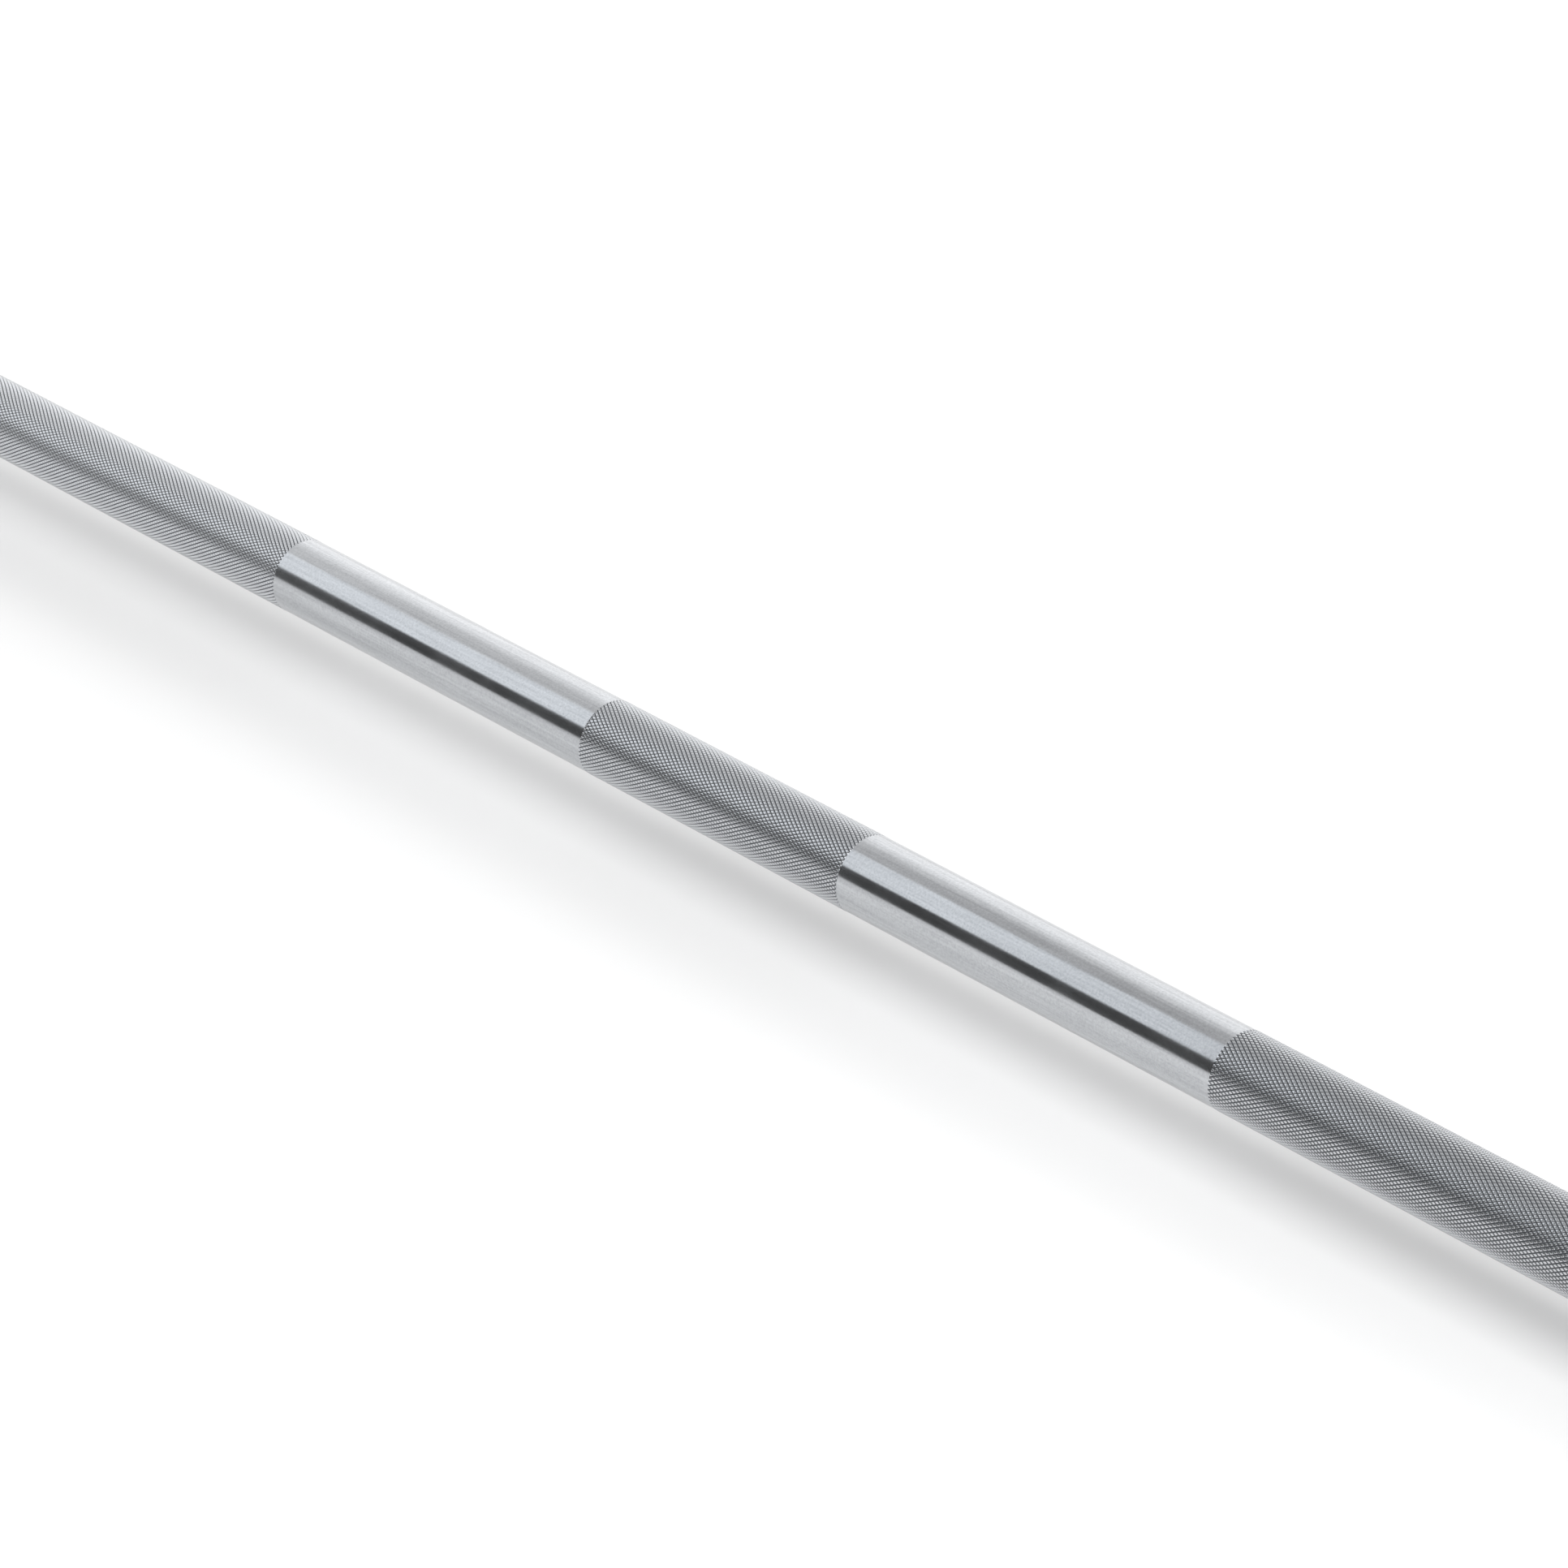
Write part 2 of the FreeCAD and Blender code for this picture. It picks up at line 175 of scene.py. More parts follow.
# Turned pieces: an outline drawn corner by corner, then spun round the bar


def turned(name, outline, ring=False):
    """outline is a list of (station, radius) in mm; a ring's outline closes on itself."""
    corners = [Vector((x * MM, 0.0, r * MM)) for x, r in outline]
    if ring:
        corners.append(corners[0])
    bpy.ops.object.select_all(action="DESELECT")
    bpy.ops.mesh.primitive_circle_add(vertices=3, radius=MM)
    piece = added(name)
    edit(piece)
    bpy.ops.mesh.merge(type="CENTER")
    bpy.ops.transform.translate(value=corners[0])
    for before, after in zip(corners, corners[1:]):
        bpy.ops.mesh.extrude_region_move(TRANSFORM_OT_translate={"value": after - before})
    bpy.ops.mesh.select_all(action="SELECT")
    bpy.ops.mesh.remove_doubles(threshold=FUSE)
    bpy.ops.mesh.select_all(action="SELECT")
    bpy.ops.mesh.spin(steps=SEGMENTS, angle=math.tau, center=(0, 0, 0), axis=(1, 0, 0))
    bpy.ops.mesh.select_all(action="SELECT")
    bpy.ops.mesh.remove_doubles(threshold=FUSE)
    bpy.ops.mesh.normals_make_consistent(inside=False)
    done_editing()
    return piece


def round_rims(piece, radius, width, segments):
    """Rounds the edges that run round the bar at a radius."""
    edit(piece)
    bpy.ops.mesh.select_mode(type="EDGE")
    bpy.ops.mesh.select_all(action="DESELECT")
    done_editing()
    points = piece.data.vertices
    for edge in piece.data.edges:
        ends = [points[i].co for i in edge.vertices]
        level = abs(ends[0].x - ends[1].x) < FUSE
        edge.select = level and all(abs(math.hypot(p.y, p.z) - radius * MM) < FUSE for p in ends)
    bpy.ops.object.mode_set(mode="EDIT")
    bpy.ops.mesh.bevel(offset=width * MM, segments=segments, affect="EDGES")
    bpy.ops.mesh.select_mode(type="VERT")
    done_editing()


def break_edges(piece, width):
    """Takes the sharpness off every corner of a turned outline."""
    apply_modifier(
        piece,
        "BEVEL",
        width=width * MM,
        segments=2,
        limit_method="ANGLE",
        angle_limit=math.radians(30),
        use_clamp_overlap=True,
    )
    smooth(piece, 40)


# Knurled stretches: one diamond, modelled once and repeated along and round the bar


def knurl_diamond(name):
    """One diamond with a low dome on its top, bent to the bar's roundness."""
    half_girth = math.pi * KNURL_RADIUS / ROWS
    half_length = DIAMOND_LENGTH / 2
    to_side = half_girth * half_length / math.hypot(half_girth, half_length)
    bpy.ops.object.select_all(action="DESELECT")
    bpy.ops.mesh.primitive_circle_add(vertices=4, radius=MM, fill_type="NGON")
    diamond = added(name)
    edit(diamond)
    bpy.ops.transform.resize(value=(half_length, half_girth, 1.0), center_override=(0, 0, 0))
    bpy.ops.mesh.inset(thickness=to_side * (1 - LAND_SHARE) * MM, depth=GROOVE_DEPTH * MM)
    bpy.ops.mesh.poke(offset=CROWN * MM)
    done_editing()
    root = (KNURL_RADIUS - GROOVE_DEPTH - CROWN) * MM
    for corner in diamond.data.vertices:
        lift = root + corner.co.z
        turn = corner.co.y / (KNURL_RADIUS * MM)
        corner.co = (corner.co.x, lift * math.sin(turn), lift * math.cos(turn))
    return diamond


def step_mark(name, along, turn):
    """An empty that says how far one copy lies from the next."""
    mark = bpy.data.objects.new(name, None)
    bpy.context.scene.collection.objects.link(mark)
    mark.location = (along * MM, 0, 0)
    mark.rotation_euler = (turn, 0, 0)
    return mark


def knurled(name, start, stop):
    """A closed knurled stretch of the bar from one station to another."""
    piece = knurl_diamond(name)
    first = math.floor(start / DIAMOND_LENGTH) - 1
    count = math.ceil(stop / DIAMOND_LENGTH) + 2 - first
    edit(piece)
    bpy.ops.transform.translate(value=(first * DIAMOND_LENGTH * MM, 0, 0))
    done_editing()
    half_step = step_mark("half_step", DIAMOND_LENGTH / 2, math.pi / ROWS)
    next_step = step_mark("next_step", DIAMOND_LENGTH, 0.0)
    row_step = step_mark("row_step", 0.0, math.tau / ROWS)
    bpy.context.view_layer.update()
    for mark, copies in ((half_step, 2), (next_step, count), (row_step, ROWS)):
        apply_modifier(
            piece,
            "ARRAY",
            count=copies,
            use_relative_offset=False,
            use_object_offset=True,
            offset_object=mark,
        )
        bpy.data.objects.remove(mark)
    edit(piece)
    bpy.ops.mesh.remove_doubles(threshold=4 * FUSE)
    for station, outward in ((start, -1), (stop, 1)):
        bpy.ops.mesh.select_all(action="SELECT")
        bpy.ops.mesh.bisect(
            plane_co=(station * MM, 0, 0), plane_no=(outward, 0, 0), use_fill=True, clear_outer=True
        )
    bpy.ops.mesh.select_all(action="SELECT")
    bpy.ops.mesh.normals_make_consistent(inside=False)
    done_editing()
    smooth(piece, ROUNDED_BELOW)
    return piece


# Materials


def ground_hard_chrome():
    """Hard chrome on ground steel: a cool grey mirror, blurred by grinding marks round the bar,
    with lengthwise rubbing and a fine grain in its tone."""
    material, tree = new_material("ground_hard_chrome")
    here = add_node(tree, "ShaderNodeTexCoord").outputs["Object"]
    mark_width, mark_length, cloud_size = 0.5 * MM, 16 * MM, 20 * MM
    rub_width, rub_length, grain_size = 0.9 * MM, 35 * MM, 0.8 * MM
    stretched = add_node(
        tree,
        "ShaderNodeMapping",
        {"Vector": here, "Scale": (1 / mark_width, 1 / mark_length, 1 / mark_length)},
    )
    marks = add_node(
        tree, "ShaderNodeTexNoise", {"Vector": stretched.outputs[0], "Scale": 1.0, "Detail": 3.0}
    )
    cloud = add_node(tree, "ShaderNodeTexNoise", {"Vector": here, "Scale": 1 / cloud_size, "Detail": 2.0})
    gloss = add_node(
        tree,
        "ShaderNodeMapRange",
        {"Value": cloud.outputs[0], "From Min": 0.3, "From Max": 0.7, "To Min": 0.13, "To Max": 0.19},
    )
    along_the_bar = add_node(
        tree,
        "ShaderNodeMapping",
        {"Vector": here, "Scale": (1 / rub_length, 1 / rub_width, 1 / rub_width)},
    )
    rubs = add_node(
        tree, "ShaderNodeTexNoise", {"Vector": along_the_bar.outputs[0], "Scale": 1.0, "Detail": 3.0}
    )
    grain = add_node(tree, "ShaderNodeTexNoise", {"Vector": here, "Scale": 1 / grain_size, "Detail": 2.0})
    both = add_node(tree, "ShaderNodeMath", {0: rubs.outputs[0], 1: grain.outputs[0]}, operation="ADD")
    wear = add_node(
        tree,
        "ShaderNodeMapRange",
        {"Value": both.outputs[0], "From Min": 0.7, "From Max": 1.3, "To Min": 0.0, "To Max": 1.0},
    )
    shade = add_node(
        tree,
        "ShaderNodeMix",
        {"Factor": wear.outputs[0], COLOUR_A: linear("#AEB0B3"), COLOUR_B: linear("#C4C6C9")},
        data_type="RGBA",
    )
    ground = add_node(
        tree, "ShaderNodeBump", {"Height": marks.outputs[0], "Strength": 0.25, "Distance": 0.01 * MM}
    )
    steel = add_node(
        tree,
        "ShaderNodeBsdfPrincipled",
        {
            "Base Color": shade.outputs[MIXED_COLOUR],
            "Metallic": 1.0,
            "Roughness": gloss.outputs[0],
            "Normal": ground.outputs[0],
        },
    )
    add_node(tree, "ShaderNodeOutputMaterial", {"Surface": steel.outputs[0]})
    return material


def rolled_hard_chrome():
    """The same chrome on the rolled knurl: bright on the crests and dull down in the grooves, whose
    colour is darkened there with painted shade.
    """
    material, tree = new_material("rolled_hard_chrome")
    here = add_node(tree, "ShaderNodeTexCoord").outputs["Object"]
    across = add_node(tree, "ShaderNodeVectorMath", {0: here, 1: (0, 1, 1)}, operation="MULTIPLY")
    height = add_node(tree, "ShaderNodeVectorMath", {0: across.outputs[0]}, operation="LENGTH")
    crest_gloss_and_painted_shade = add_node(
        tree,
        "ShaderNodeMapRange",
        {
            "Value": height.outputs["Value"],
            "From Min": (KNURL_RADIUS - CROWN - GROOVE_DEPTH) * MM,
            "From Max": (KNURL_RADIUS - CROWN) * MM,
            "To Min": 0.0,
            "To Max": 1.0,
        },
    )
    # Painted shade: the colour darkens from the crests down into the grooves, standing in for the shade
    # that falls in them
    shade = add_node(
        tree,
        "ShaderNodeMix",
        {"Factor": crest_gloss_and_painted_shade.outputs[0], COLOUR_A: linear("#64666A"), COLOUR_B: linear("#C2C4C7")},
        data_type="RGBA",
    )
    gloss = add_node(
        tree,
        "ShaderNodeMapRange",
        {"Value": crest_gloss_and_painted_shade.outputs[0], "From Min": 0.0, "From Max": 1.0, "To Min": 0.35, "To Max": 0.17},
    )
    steel = add_node(
        tree,
        "ShaderNodeBsdfPrincipled",
        {
            "Base Color": shade.outputs[MIXED_COLOUR],
            "Metallic": 1.0,
            "Roughness": gloss.outputs[0],
        },
    )
    add_node(tree, "ShaderNodeOutputMaterial", {"Surface": steel.outputs[0]})
    return material


def polished_sleeve_chrome():
    """Bright chrome on turned steel: a clear mirror with faint turning rings and lengthwise rubbing."""
    material, tree = new_material("polished_sleeve_chrome")
    here = add_node(tree, "ShaderNodeTexCoord").outputs["Object"]
    ring_width, rub_width, rub_length = 0.8 * MM, 1.5 * MM, 60 * MM
    round_the_bar = add_node(
        tree, "ShaderNodeMapping", {"Vector": here, "Scale": (1 / ring_width, 10.0, 10.0)}
    )
    rings = add_node(
        tree, "ShaderNodeTexNoise", {"Vector": round_the_bar.outputs[0], "Scale": 1.0, "Detail": 2.0}
    )
    along_the_bar = add_node(
        tree,
        "ShaderNodeMapping",
        {"Vector": here, "Scale": (1 / rub_length, 1 / rub_width, 1 / rub_width)},
    )
    rubs = add_node(
        tree, "ShaderNodeTexNoise", {"Vector": along_the_bar.outputs[0], "Scale": 1.0, "Detail": 4.0}
    )
    gloss = add_node(
        tree,
        "ShaderNodeMapRange",
        {"Value": rubs.outputs[0], "From Min": 0.45, "From Max": 0.72, "To Min": 0.09, "To Max": 0.24},
    )
    turning = add_node(
        tree, "ShaderNodeBump", {"Height": rings.outputs[0], "Strength": 0.15, "Distance": 0.01 * MM}
    )
    steel = add_node(
        tree,
        "ShaderNodeBsdfPrincipled",
        {
            "Base Color": linear("#C6C8CB"),
            "Metallic": 1.0,
            "Roughness": gloss.outputs[0],
            "Normal": turning.outputs[0],
        },
    )
    add_node(tree, "ShaderNodeOutputMaterial", {"Surface": steel.outputs[0]})
    return material


def moulded_nitrile_rubber():
    """Moulded nitrile rubber: soft black with a dull sheen and a fine mould grain."""
    material, tree = new_material("moulded_nitrile_rubber")
    here = add_node(tree, "ShaderNodeTexCoord").outputs["Object"]
    grain_size, dust_size = 0.25 * MM, 4 * MM
    grain = add_node(tree, "ShaderNodeTexNoise", {"Vector": here, "Scale": 1 / grain_size, "Detail": 2.0})
    dust = add_node(tree, "ShaderNodeTexNoise", {"Vector": here, "Scale": 1 / dust_size, "Detail": 4.0})
    colour = add_node(
        tree,
        "ShaderNodeMix",
        {"Factor": dust.outputs[0], COLOUR_A: linear("#161616"), COLOUR_B: linear("#2B2A29")},
        data_type="RGBA",
    )
    moulded = add_node(
        tree, "ShaderNodeBump", {"Height": grain.outputs[0], "Strength": 0.4, "Distance": 0.02 * MM}
    )
    rubber = add_node(
        tree,
        "ShaderNodeBsdfPrincipled",
        {
            "Base Color": colour.outputs[MIXED_COLOUR],
            "Roughness": 0.62,
            "IOR": 1.52,
            "Normal": moulded.outputs[0],
        },
    )
    add_node(tree, "ShaderNodeOutputMaterial", {"Surface": rubber.outputs[0]})
    return material


def black_anodised_aluminium():
    """Turned aluminium, black anodised: a satin black metal with close turning rings on its face."""
    material, tree = new_material("black_anodised_aluminium")
    here = add_node(tree, "ShaderNodeTexCoord").outputs["Object"]
    ring_pitch, grain_size = 0.5 * MM, 0.2 * MM
    rings = add_node(
        tree,
        "ShaderNodeTexWave",
        {"Vector": here, "Scale": math.tau / (20 * ring_pitch), "Distortion": 0.6, "Detail": 2.0},
        wave_type="RINGS",
        rings_direction="X",
    )
    grain = add_node(tree, "ShaderNodeTexNoise", {"Vector": here, "Scale": 1 / grain_size, "Detail": 2.0})
    gloss = add_node(
        tree,
        "ShaderNodeMapRange",
        {"Value": grain.outputs[0], "From Min": 0.3, "From Max": 0.7, "To Min": 0.30, "To Max": 0.44},
    )
    turning = add_node(
        tree, "ShaderNodeBump", {"Height": rings.outputs[1], "Strength": 0.35, "Distance": 0.01 * MM}
    )
    metal = add_node(
        tree,
        "ShaderNodeBsdfPrincipled",
        {
            "Base Color": linear("#3A3B3E"),
            "Metallic": 1.0,
            "Roughness": gloss.outputs[0],
            "Normal": turning.outputs[0],
        },
    )
    add_node(tree, "ShaderNodeOutputMaterial", {"Surface": metal.outputs[0]})
    return material


def oil_soaked_bronze():
    """Sintered bronze soaked in oil: brown-gold, dark in its pores, with a wet satin gloss."""
    material, tree = new_material("oil_soaked_bronze")
    here = add_node(tree, "ShaderNodeTexCoord").outputs["Object"]
    pore_size = 0.3 * MM
    pores = add_node(tree, "ShaderNodeTexVoronoi", {"Vector": here, "Scale": 1 / pore_size})
    shade = add_node(
        tree,
        "ShaderNodeMix",
        {"Factor": pores.outputs[0], COLOUR_A: linear("#8A5F33"), COLOUR_B: linear("#C79A5E")},
        data_type="RGBA",
    )
    pitted = add_node(
        tree, "ShaderNodeBump", {"Height": pores.outputs[0], "Strength": 0.3, "Distance": 0.01 * MM}
    )
    bronze = add_node(
        tree,
        "ShaderNodeBsdfPrincipled",
        {
            "Base Color": shade.outputs[MIXED_COLOUR],
            "Metallic": 1.0,
            "Roughness": 0.34,
            "Normal": pitted.outputs[0],
        },
    )
    add_node(tree, "ShaderNodeOutputMaterial", {"Surface": bronze.outputs[0]})
    return material


def drawn_bearing_steel():
    """Hardened bearing steel, drawn and ground: bright grey with hair-fine marks round it."""
    material, tree = new_material("drawn_bearing_steel")
    here = add_node(tree, "ShaderNodeTexCoord").outputs["Object"]
    mark_width, mark_length = 0.15 * MM, 5 * MM
    stretched = add_node(
        tree,
        "ShaderNodeMapping",
        {"Vector": here, "Scale": (1 / mark_width, 1 / mark_length, 1 / mark_length)},
    )
    marks = add_node(
        tree, "ShaderNodeTexNoise", {"Vector": stretched.outputs[0], "Scale": 1.0, "Detail": 2.0}
    )
    gloss = add_node(
        tree,
        "ShaderNodeMapRange",
        {"Value": marks.outputs[0], "From Min": 0.3, "From Max": 0.7, "To Min": 0.14, "To Max": 0.26},
    )
    steel = add_node(
        tree,
        "ShaderNodeBsdfPrincipled",
        {"Base Color": linear("#C0C1C3"), "Metallic": 1.0, "Roughness": gloss.outputs[0]},
    )
    add_node(tree, "ShaderNodeOutputMaterial", {"Surface": steel.outputs[0]})
    return material


def glass_filled_polyamide():
    """Moulded polyamide with glass fibre: dark brown, half matt, with pale fibre flecks."""
    material, tree = new_material("glass_filled_polyamide")
    here = add_node(tree, "ShaderNodeTexCoord").outputs["Object"]
    fibre_width, fibre_length = 0.12 * MM, 1.2 * MM
    stretched = add_node(
        tree,
        "ShaderNodeMapping",
        {"Vector": here, "Scale": (1 / fibre_length, 1 / fibre_width, 1 / fibre_width)},
    )
    fibres = add_node(
        tree, "ShaderNodeTexNoise", {"Vector": stretched.outputs[0], "Scale": 1.0, "Detail": 3.0}
    )
    shade = add_node(
        tree,
        "ShaderNodeMix",
        {"Factor": fibres.outputs[0], COLOUR_A: linear("#4E4237"), COLOUR_B: linear("#75685A")},
        data_type="RGBA",
    )
    polyamide = add_node(
        tree,
        "ShaderNodeBsdfPrincipled",
        {"Base Color": shade.outputs[MIXED_COLOUR], "Roughness": 0.5, "IOR": 1.53},
    )
    add_node(tree, "ShaderNodeOutputMaterial", {"Surface": polyamide.outputs[0]})
    return material


def phosphated_spring_steel():
    """Spring steel with a phosphate coat: dark crystalline grey that hardly shines."""
    material, tree = new_material("phosphated_spring_steel")
    here = add_node(tree, "ShaderNodeTexCoord").outputs["Object"]
    crystal_size = 0.2 * MM
    crystals = add_node(tree, "ShaderNodeTexVoronoi", {"Vector": here, "Scale": 1 / crystal_size})
    shade = add_node(
        tree,
        "ShaderNodeMix",
        {"Factor": crystals.outputs[0], COLOUR_A: linear("#5A5B5C"), COLOUR_B: linear("#6E6E6D")},
        data_type="RGBA",
    )
    coat = add_node(
        tree, "ShaderNodeBump", {"Height": crystals.outputs[0], "Strength": 0.3, "Distance": 0.01 * MM}
    )
    steel = add_node(
        tree,
        "ShaderNodeBsdfPrincipled",
        {
            "Base Color": shade.outputs[MIXED_COLOUR],
            "Metallic": 1.0,
            "Roughness": 0.52,
            "Normal": coat.outputs[0],
        },
    )
    add_node(tree, "ShaderNodeOutputMaterial", {"Surface": steel.outputs[0]})
    return material


def ground_washer_steel():
    """Hardened washer steel, ground flat: mid grey with crossing grinding lines on its faces."""
    material, tree = new_material("ground_washer_steel")
    here = add_node(tree, "ShaderNodeTexCoord").outputs["Object"]
    line_width, line_length = 0.15 * MM, 8 * MM
    stretched = add_node(
        tree,
        "ShaderNodeMapping",
        {"Vector": here, "Scale": (1 / line_length, 1 / line_width, 1 / line_length)},
    )
    lines = add_node(
        tree, "ShaderNodeTexNoise", {"Vector": stretched.outputs[0], "Scale": 1.0, "Detail": 2.0}
    )
    gloss = add_node(
        tree,
        "ShaderNodeMapRange",
        {"Value": lines.outputs[0], "From Min": 0.3, "From Max": 0.7, "To Min": 0.20, "To Max": 0.38},
    )
    steel = add_node(
        tree,
        "ShaderNodeBsdfPrincipled",
        {"Base Color": linear("#B4B5B6"), "Metallic": 1.0, "Roughness": gloss.outputs[0]},
    )
    add_node(tree, "ShaderNodeOutputMaterial", {"Surface": steel.outputs[0]})
    return material


# The shaft


def make_shaft():
    ground, rolled = ground_hard_chrome(), rolled_hard_chrome()
    centre_knurl = knurled("shaft_centre_knurl", -CENTRE_KNURL_END, CENTRE_KNURL_END)
    place(centre_knurl, "shaft", rolled, "shaft_chrome", "shaft")
    for name, start, stop in (
        ("right_inner_grip_knurl", GRIP_START, RING_MARK_START),
        ("right_outer_grip_knurl", RING_MARK_END, GRIP_END),
    ):
        grip = knurled(name, start, stop)
        for piece in (grip, turn_to_left(grip)):
            place(piece, "shaft", rolled, "shaft_chrome", "shaft")
    edge, drill_radius, drill_depth = 0.8, 4.0, 7.0
    smooth_band = [
        (CENTRE_KNURL_END, 0),
        (CENTRE_KNURL_END, SHAFT_RADIUS),
        (GRIP_START, SHAFT_RADIUS),
        (GRIP_START, 0),
    ]
    ring_mark = [
        (RING_MARK_START, 0),
        (RING_MARK_START, SHAFT_RADIUS),
        (RING_MARK_END, SHAFT_RADIUS),
        (RING_MARK_END, 0),
    ]
    journal = [
        (GRIP_END, 0),
        (GRIP_END, SHAFT_RADIUS),
        (SHOULDER, SHAFT_RADIUS),
        (SHOULDER, JOURNAL_RADIUS),
        (RING_GROOVE_START, JOURNAL_RADIUS),
        (RING_GROOVE_START, RING_GROOVE_RADIUS),
        (RING_GROOVE_END, RING_GROOVE_RADIUS),
        (RING_GROOVE_END, JOURNAL_RADIUS),
        (SHAFT_END - edge, JOURNAL_RADIUS),
        (SHAFT_END, JOURNAL_RADIUS - edge),
        (SHAFT_END, drill_radius),
        (SHAFT_END - drill_depth, 0),
    ]
    for name, outline in (
        ("right_smooth_band", smooth_band),
        ("right_ring_mark", ring_mark),
        ("right_sleeve_journal", journal),
    ):
        stretch = turned(name, outline)
        smooth(stretch, 30)
        for piece in (stretch, turn_to_left(stretch)):
            place(piece, "shaft", ground, "shaft_chrome", "shaft")


# The sleeves


def sleeve_outline():
    """The sleeve tube's section, from its collar seat round by the mouth and back through the bore."""
    end_bevel = 2.0
    inner_flange_seat, inner_seat = 666.65, 711.65
    outer_seat, outer_flange_seat = 1033.8, 1078.8
    return [
        (SLEEVE_START, SPIGOT_RADIUS),
        (COLLAR_TAPER_START, SPIGOT_RADIUS),
        (COLLAR_FACE, SLEEVE_RADIUS),
        (SLEEVE_END - end_bevel, SLEEVE_RADIUS),
        (SLEEVE_END, SLEEVE_RADIUS - end_bevel),
        (SLEEVE_END, CAP_BORE),
        (CAP_GROOVE_END, CAP_BORE),
        (CAP_GROOVE_END, CAP_GROOVE),
        (CAP_END, CAP_GROOVE),
        (CAP_END, CAP_BORE),
        (CAP_START, CAP_BORE),
        (CAP_START, FLANGE_BORE),
        (outer_flange_seat, FLANGE_BORE),
        (outer_flange_seat, SEAT_BORE),
        (outer_seat, SEAT_BORE),
        (outer_seat, CLEAR_BORE),
        (inner_seat, CLEAR_BORE),
        (inner_seat, SEAT_BORE),
        (inner_flange_seat, SEAT_BORE),
        (inner_flange_seat, FLANGE_BORE),
        (SLEEVE_START, FLANGE_BORE),
    ]


def make_sleeves():
    chrome = polished_sleeve_chrome()
    rubber = moulded_nitrile_rubber()
    anodised = black_anodised_aluminium()
    steel_edge, rubber_edge, cap_edge = 0.2, 0.25, 0.4
    tube = turned("right_turned_sleeve", sleeve_outline(), ring=True)
    break_edges(tube, steel_edge)
    collar_round, round_steps = 2.5, 6
    collar = turned(
        "right_plate_collar",
        [
            (SLEEVE_START, SPIGOT_RADIUS),
            (SLEEVE_START, COLLAR_RADIUS),
            (COLLAR_FACE, COLLAR_RADIUS),
            (COLLAR_FACE, SLEEVE_RADIUS),
            (COLLAR_TAPER_START, SPIGOT_RADIUS),
        ],
        ring=True,
    )
    round_rims(collar, COLLAR_RADIUS, collar_round, round_steps)
    break_edges(collar, steel_edge)
    seal_start, seal_end, lip, lead_in = 655.8, 660.3, 14.35, 1.2
    seal = turned(
        "right_lip_seal",
        [
            (seal_start, FLANGE_BORE),
            (seal_start, lip + lead_in),
            (seal_start + lead_in, lip),
            (seal_end, lip),
            (seal_end, FLANGE_BORE),
        ],
        ring=True,
    )
    break_edges(seal, rubber_edge)
    dish_radius, dish_depth = 13.04, 0.6
    cap = turned(
        "right_sleeve_cap",
        [
            (CAP_START, 0),
            (CAP_START, CAP_BORE),
            (CAP_END, CAP_BORE),
            (CAP_END, dish_radius),
            (CAP_END - dish_depth, dish_radius - dish_depth),
            (CAP_END - dish_depth, 0),
        ],
    )
    break_edges(cap, cap_edge)
    for piece, material, slot, node in (
        (tube, chrome, "sleeve_chrome", "sleeve_tube"),
        (collar, chrome, "sleeve_chrome", "sleeve_collar"),
        (seal, rubber, "seal_rubber", "dust_seal"),
        (cap, anodised, "cap_aluminium", "end_cap"),
    ):
        place(turn_to_left(piece), "left_sleeve", material, slot, "left_" + node)
        place(piece, "right_sleeve", material, slot, "right_" + node)


def finish_inner_pieces():
    """Materials for the CAD nodes inside the sleeves and for the snap rings."""
    bearing, bronze = drawn_bearing_steel(), oil_soaked_bronze()
    polyamide, spring = glass_filled_polyamide(), phosphated_spring_steel()
    washer = ground_washer_steel()
    for ending, material in (
        ("_thrust_washer", washer),
        ("_bushing", bronze),
        ("_bearing_cup", bearing),
        ("_bearing_needles", bearing),
        ("_bearing_cage", polyamide),
        ("_snap_ring", spring),
    ):
        for name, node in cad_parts.items():
            if name.endswith(ending):
                node.data.materials.clear()
                node.data.materials.append(material)


make_shaft()
make_sleeves()
finish_inner_pieces()


# Stage: a floor that the collars stand on, the camera and the light

bpy.ops.object.select_all(action="DESELECT")
bpy.ops.mesh.primitive_plane_add(size=40.0, location=(0, 0, -COLLAR_RADIUS * MM))
floor = bpy.context.view_layer.objects.active
floor.name = "studio_floor"
paper, tree = new_material("matt_white_paper")
sheet = add_node(
    tree,
    "ShaderNodeBsdfPrincipled",
    {"Base Color": linear("#DFDFDF"), "Roughness": 0.9, "Specular IOR Level": 0.1},
)
add_node(tree, "ShaderNodeOutputMaterial", {"Surface": sheet.outputs[0]})
floor.data.materials.append(paper)

# The camera stands where the photograph was taken from
camera = bpy.data.objects.new("camera", bpy.data.cameras.new("camera"))
bpy.context.scene.collection.objects.link(camera)
camera.location = (1.24185, -1.14958, 0.96540)
camera.rotation_mode = "QUATERNION"
camera.rotation_quaternion = Vector((-0.63283, 0.59760, -0.49235)).to_track_quat("-Z", "Y")
camera.data.sensor_width = 36.0
camera.data.lens = 129.888
camera.data.clip_end = 100.0
bpy.context.scene.camera = camera


def soft_panel(name, sides, power, place, target):
    """A rectangular lamp that faces a point and that the camera doesn't see."""
    panel = bpy.data.lights.new(name, "AREA")
    panel.shape = "RECTANGLE"
    panel.size, panel.size_y = sides
    panel.energy = power
    lamp = bpy.data.objects.new(name, panel)
    bpy.context.scene.collection.objects.link(lamp)
    lamp.location = place
    lamp.rotation_mode = "QUATERNION"
    lamp.rotation_quaternion = (Vector(target) - lamp.location).to_track_quat("-Z", "Y")
    lamp.visible_camera = False
    return lamp


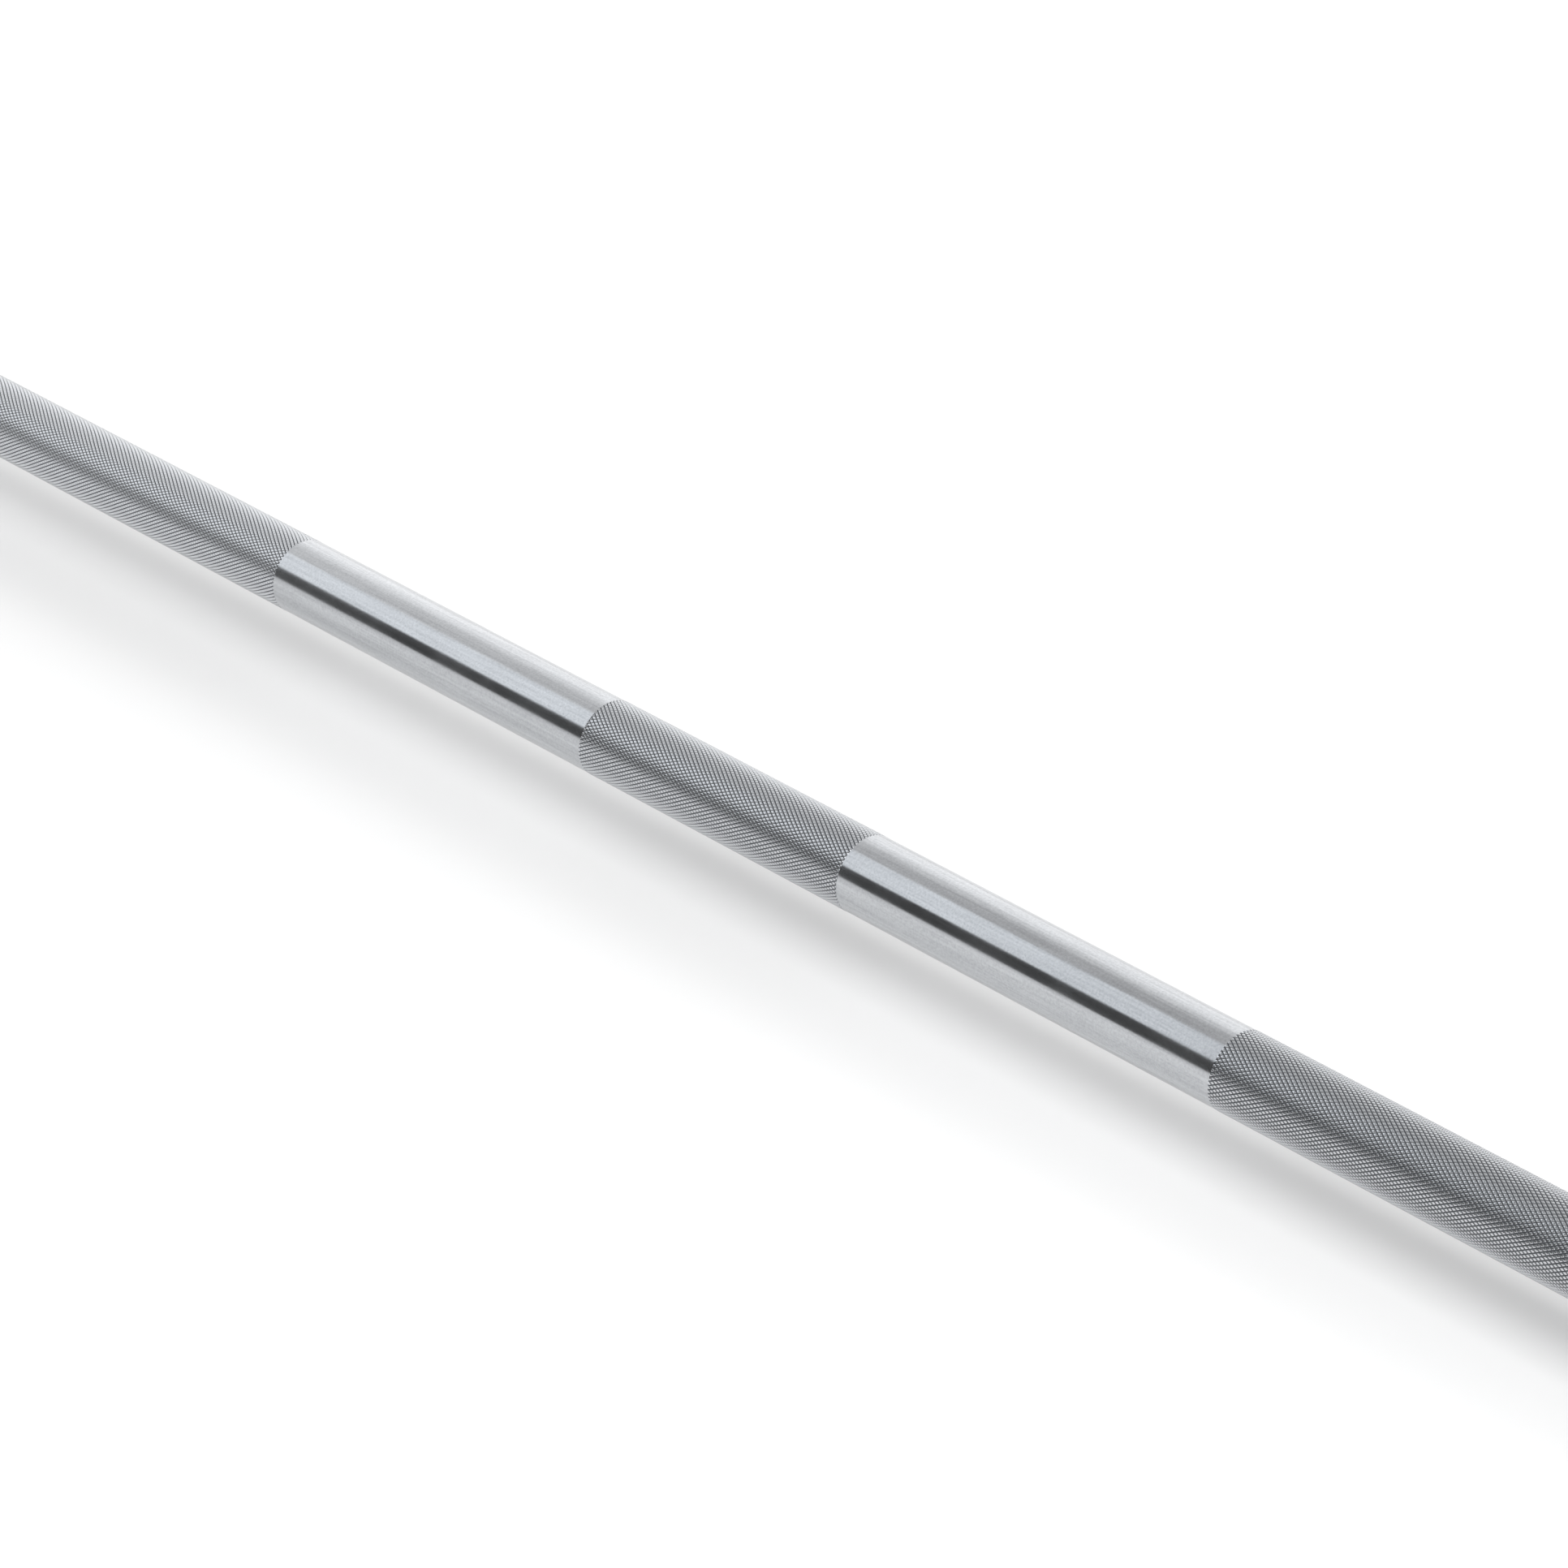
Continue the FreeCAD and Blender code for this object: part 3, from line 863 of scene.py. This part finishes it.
# A soft key light far to the right, for the shadow under the bar, and a fill light behind the left
# end, which pales the shadow there and isn't mirrored in the chrome
soft_panel("key_panel", (1.6, 0.9), 130.0, (3.2, -0.75, 2.2), (0, 0, 0))
fill = soft_panel("fill_panel", (0.8, 0.8), 7.5, (-1.0, 0.9, 0.9), (-0.4, 0, 0))
fill.visible_glossy = False

# How bright the studio is, in four bands round the bar that lie over one another like sheets: the
# low strip above the floor, the front panel, the ceiling and the far wall. Each stop is a place
# from the left, -1, to the right, 1, and the brightness there
BRIGHTEST = 3.0
LOW_STRIP = (
    (-1, 0.3), (-0.9, 0.6), (-0.82, 1.2), (-0.76, 0.08), (-0.42, 0.08),
    (-0.3, 1.7), (0.02, 1.7), (0.14, 0.5), (0.4, 0.1), (1, 1.4),
)
FRONT_PANEL = (
    (-1, 0.2), (-0.92, 0.3), (-0.85, 1.7), (-0.75, 1.3), (-0.57, 1.2),
    (-0.52, 0.85), (-0.47, 0.2), (-0.35, 0.3), (-0.2, 1.7), (0.02, 1.6),
    (0.14, 0.2), (0.5, 0.15), (1, 1.8),
)
CEILING = (
    (-1, 1.2), (-0.85, 1.7), (-0.73, 1.0), (-0.56, 0.6), (-0.46, 0.6),
    (-0.38, 0.8), (-0.24, 1.6), (0.02, 1.6), (0.15, 0.4), (0.45, 0.3),
    (1, 1.5),
)
FAR_WALL = (
    (-1, 1.7), (-0.85, 1.7), (-0.75, 1.5), (-0.5, 1.4), (-0.4, 1.2),
    (-0.22, 1.5), (-0.05, 1.0), (0.15, 0.4), (1, 0.4),
)
# The front panel is slightly blue in the stretch that the smooth bands mirror
PANEL_TINT = (0.97, 1.0, 1.03)
TINT_START, TINT_END = -0.8, -0.4
WHITE = (1, 1, 1)

world = bpy.data.worlds.new("studio")
bpy.context.scene.world = world
world.use_nodes = True
tree = world.node_tree
tree.nodes.clear()
where = add_node(tree, "ShaderNodeTexCoord").outputs["Generated"]
part = add_node(tree, "ShaderNodeSeparateXYZ", {"Vector": where})
toward = add_node(tree, "ShaderNodeMath", {0: part.outputs["Y"], 1: -1.0}, operation="MULTIPLY")
angle = add_node(
    tree, "ShaderNodeMath", {0: part.outputs["Z"], 1: toward.outputs[0]}, operation="ARCTAN2"
)
left_to_right = add_node(
    tree, "ShaderNodeMapRange", {"Value": part.outputs["X"], "From Min": -1.0, "From Max": 1.0}
)
shade = None
# Each band begins and ends blending over the one before at these angles up from the floor in front
for stops, tint, begins, ends in (
    (LOW_STRIP, WHITE, None, None),
    (FRONT_PANEL, PANEL_TINT, 30.5, 33.5),
    (CEILING, WHITE, 80, 84),
    (FAR_WALL, WHITE, 100, 150),
):
    ramp = add_node(tree, "ShaderNodeValToRGB", {"Fac": left_to_right.outputs[0]})
    steps = ramp.color_ramp.elements
    for across, brightness in stops:
        stop = steps[-1] if across == 1 else steps[0] if across == -1 else steps.new((across + 1) / 2)
        shares = tint if TINT_START < across < TINT_END else WHITE
        stop.color = [brightness * share / BRIGHTEST for share in shares] + [1.0]
    if shade is None:
        shade = ramp.outputs["Color"]
        continue
    over = add_node(
        tree,
        "ShaderNodeMapRange",
        {"Value": angle.outputs[0], "From Min": math.radians(begins), "From Max": math.radians(ends)},
        interpolation_type="SMOOTHSTEP",
    )
    laid = add_node(
        tree,
        "ShaderNodeMix",
        {"Factor": over.outputs[0], COLOUR_A: shade, COLOUR_B: ramp.outputs["Color"]},
        data_type="RGBA",
    )
    shade = laid.outputs[MIXED_COLOUR]
# The camera itself sees plain white behind the floor
seen = add_node(tree, "ShaderNodeLightPath").outputs["Is Camera Ray"]
backdrop = add_node(
    tree,
    "ShaderNodeMix",
    {"Factor": seen, COLOUR_A: shade, COLOUR_B: [1 / BRIGHTEST] * 3 + [1.0]},
    data_type="RGBA",
)
sky = add_node(
    tree, "ShaderNodeBackground", {"Color": backdrop.outputs[MIXED_COLOUR], "Strength": BRIGHTEST}
)
add_node(tree, "ShaderNodeOutputWorld", {"Surface": sky.outputs[0]})

bpy.context.scene.view_settings.view_transform = "Standard"
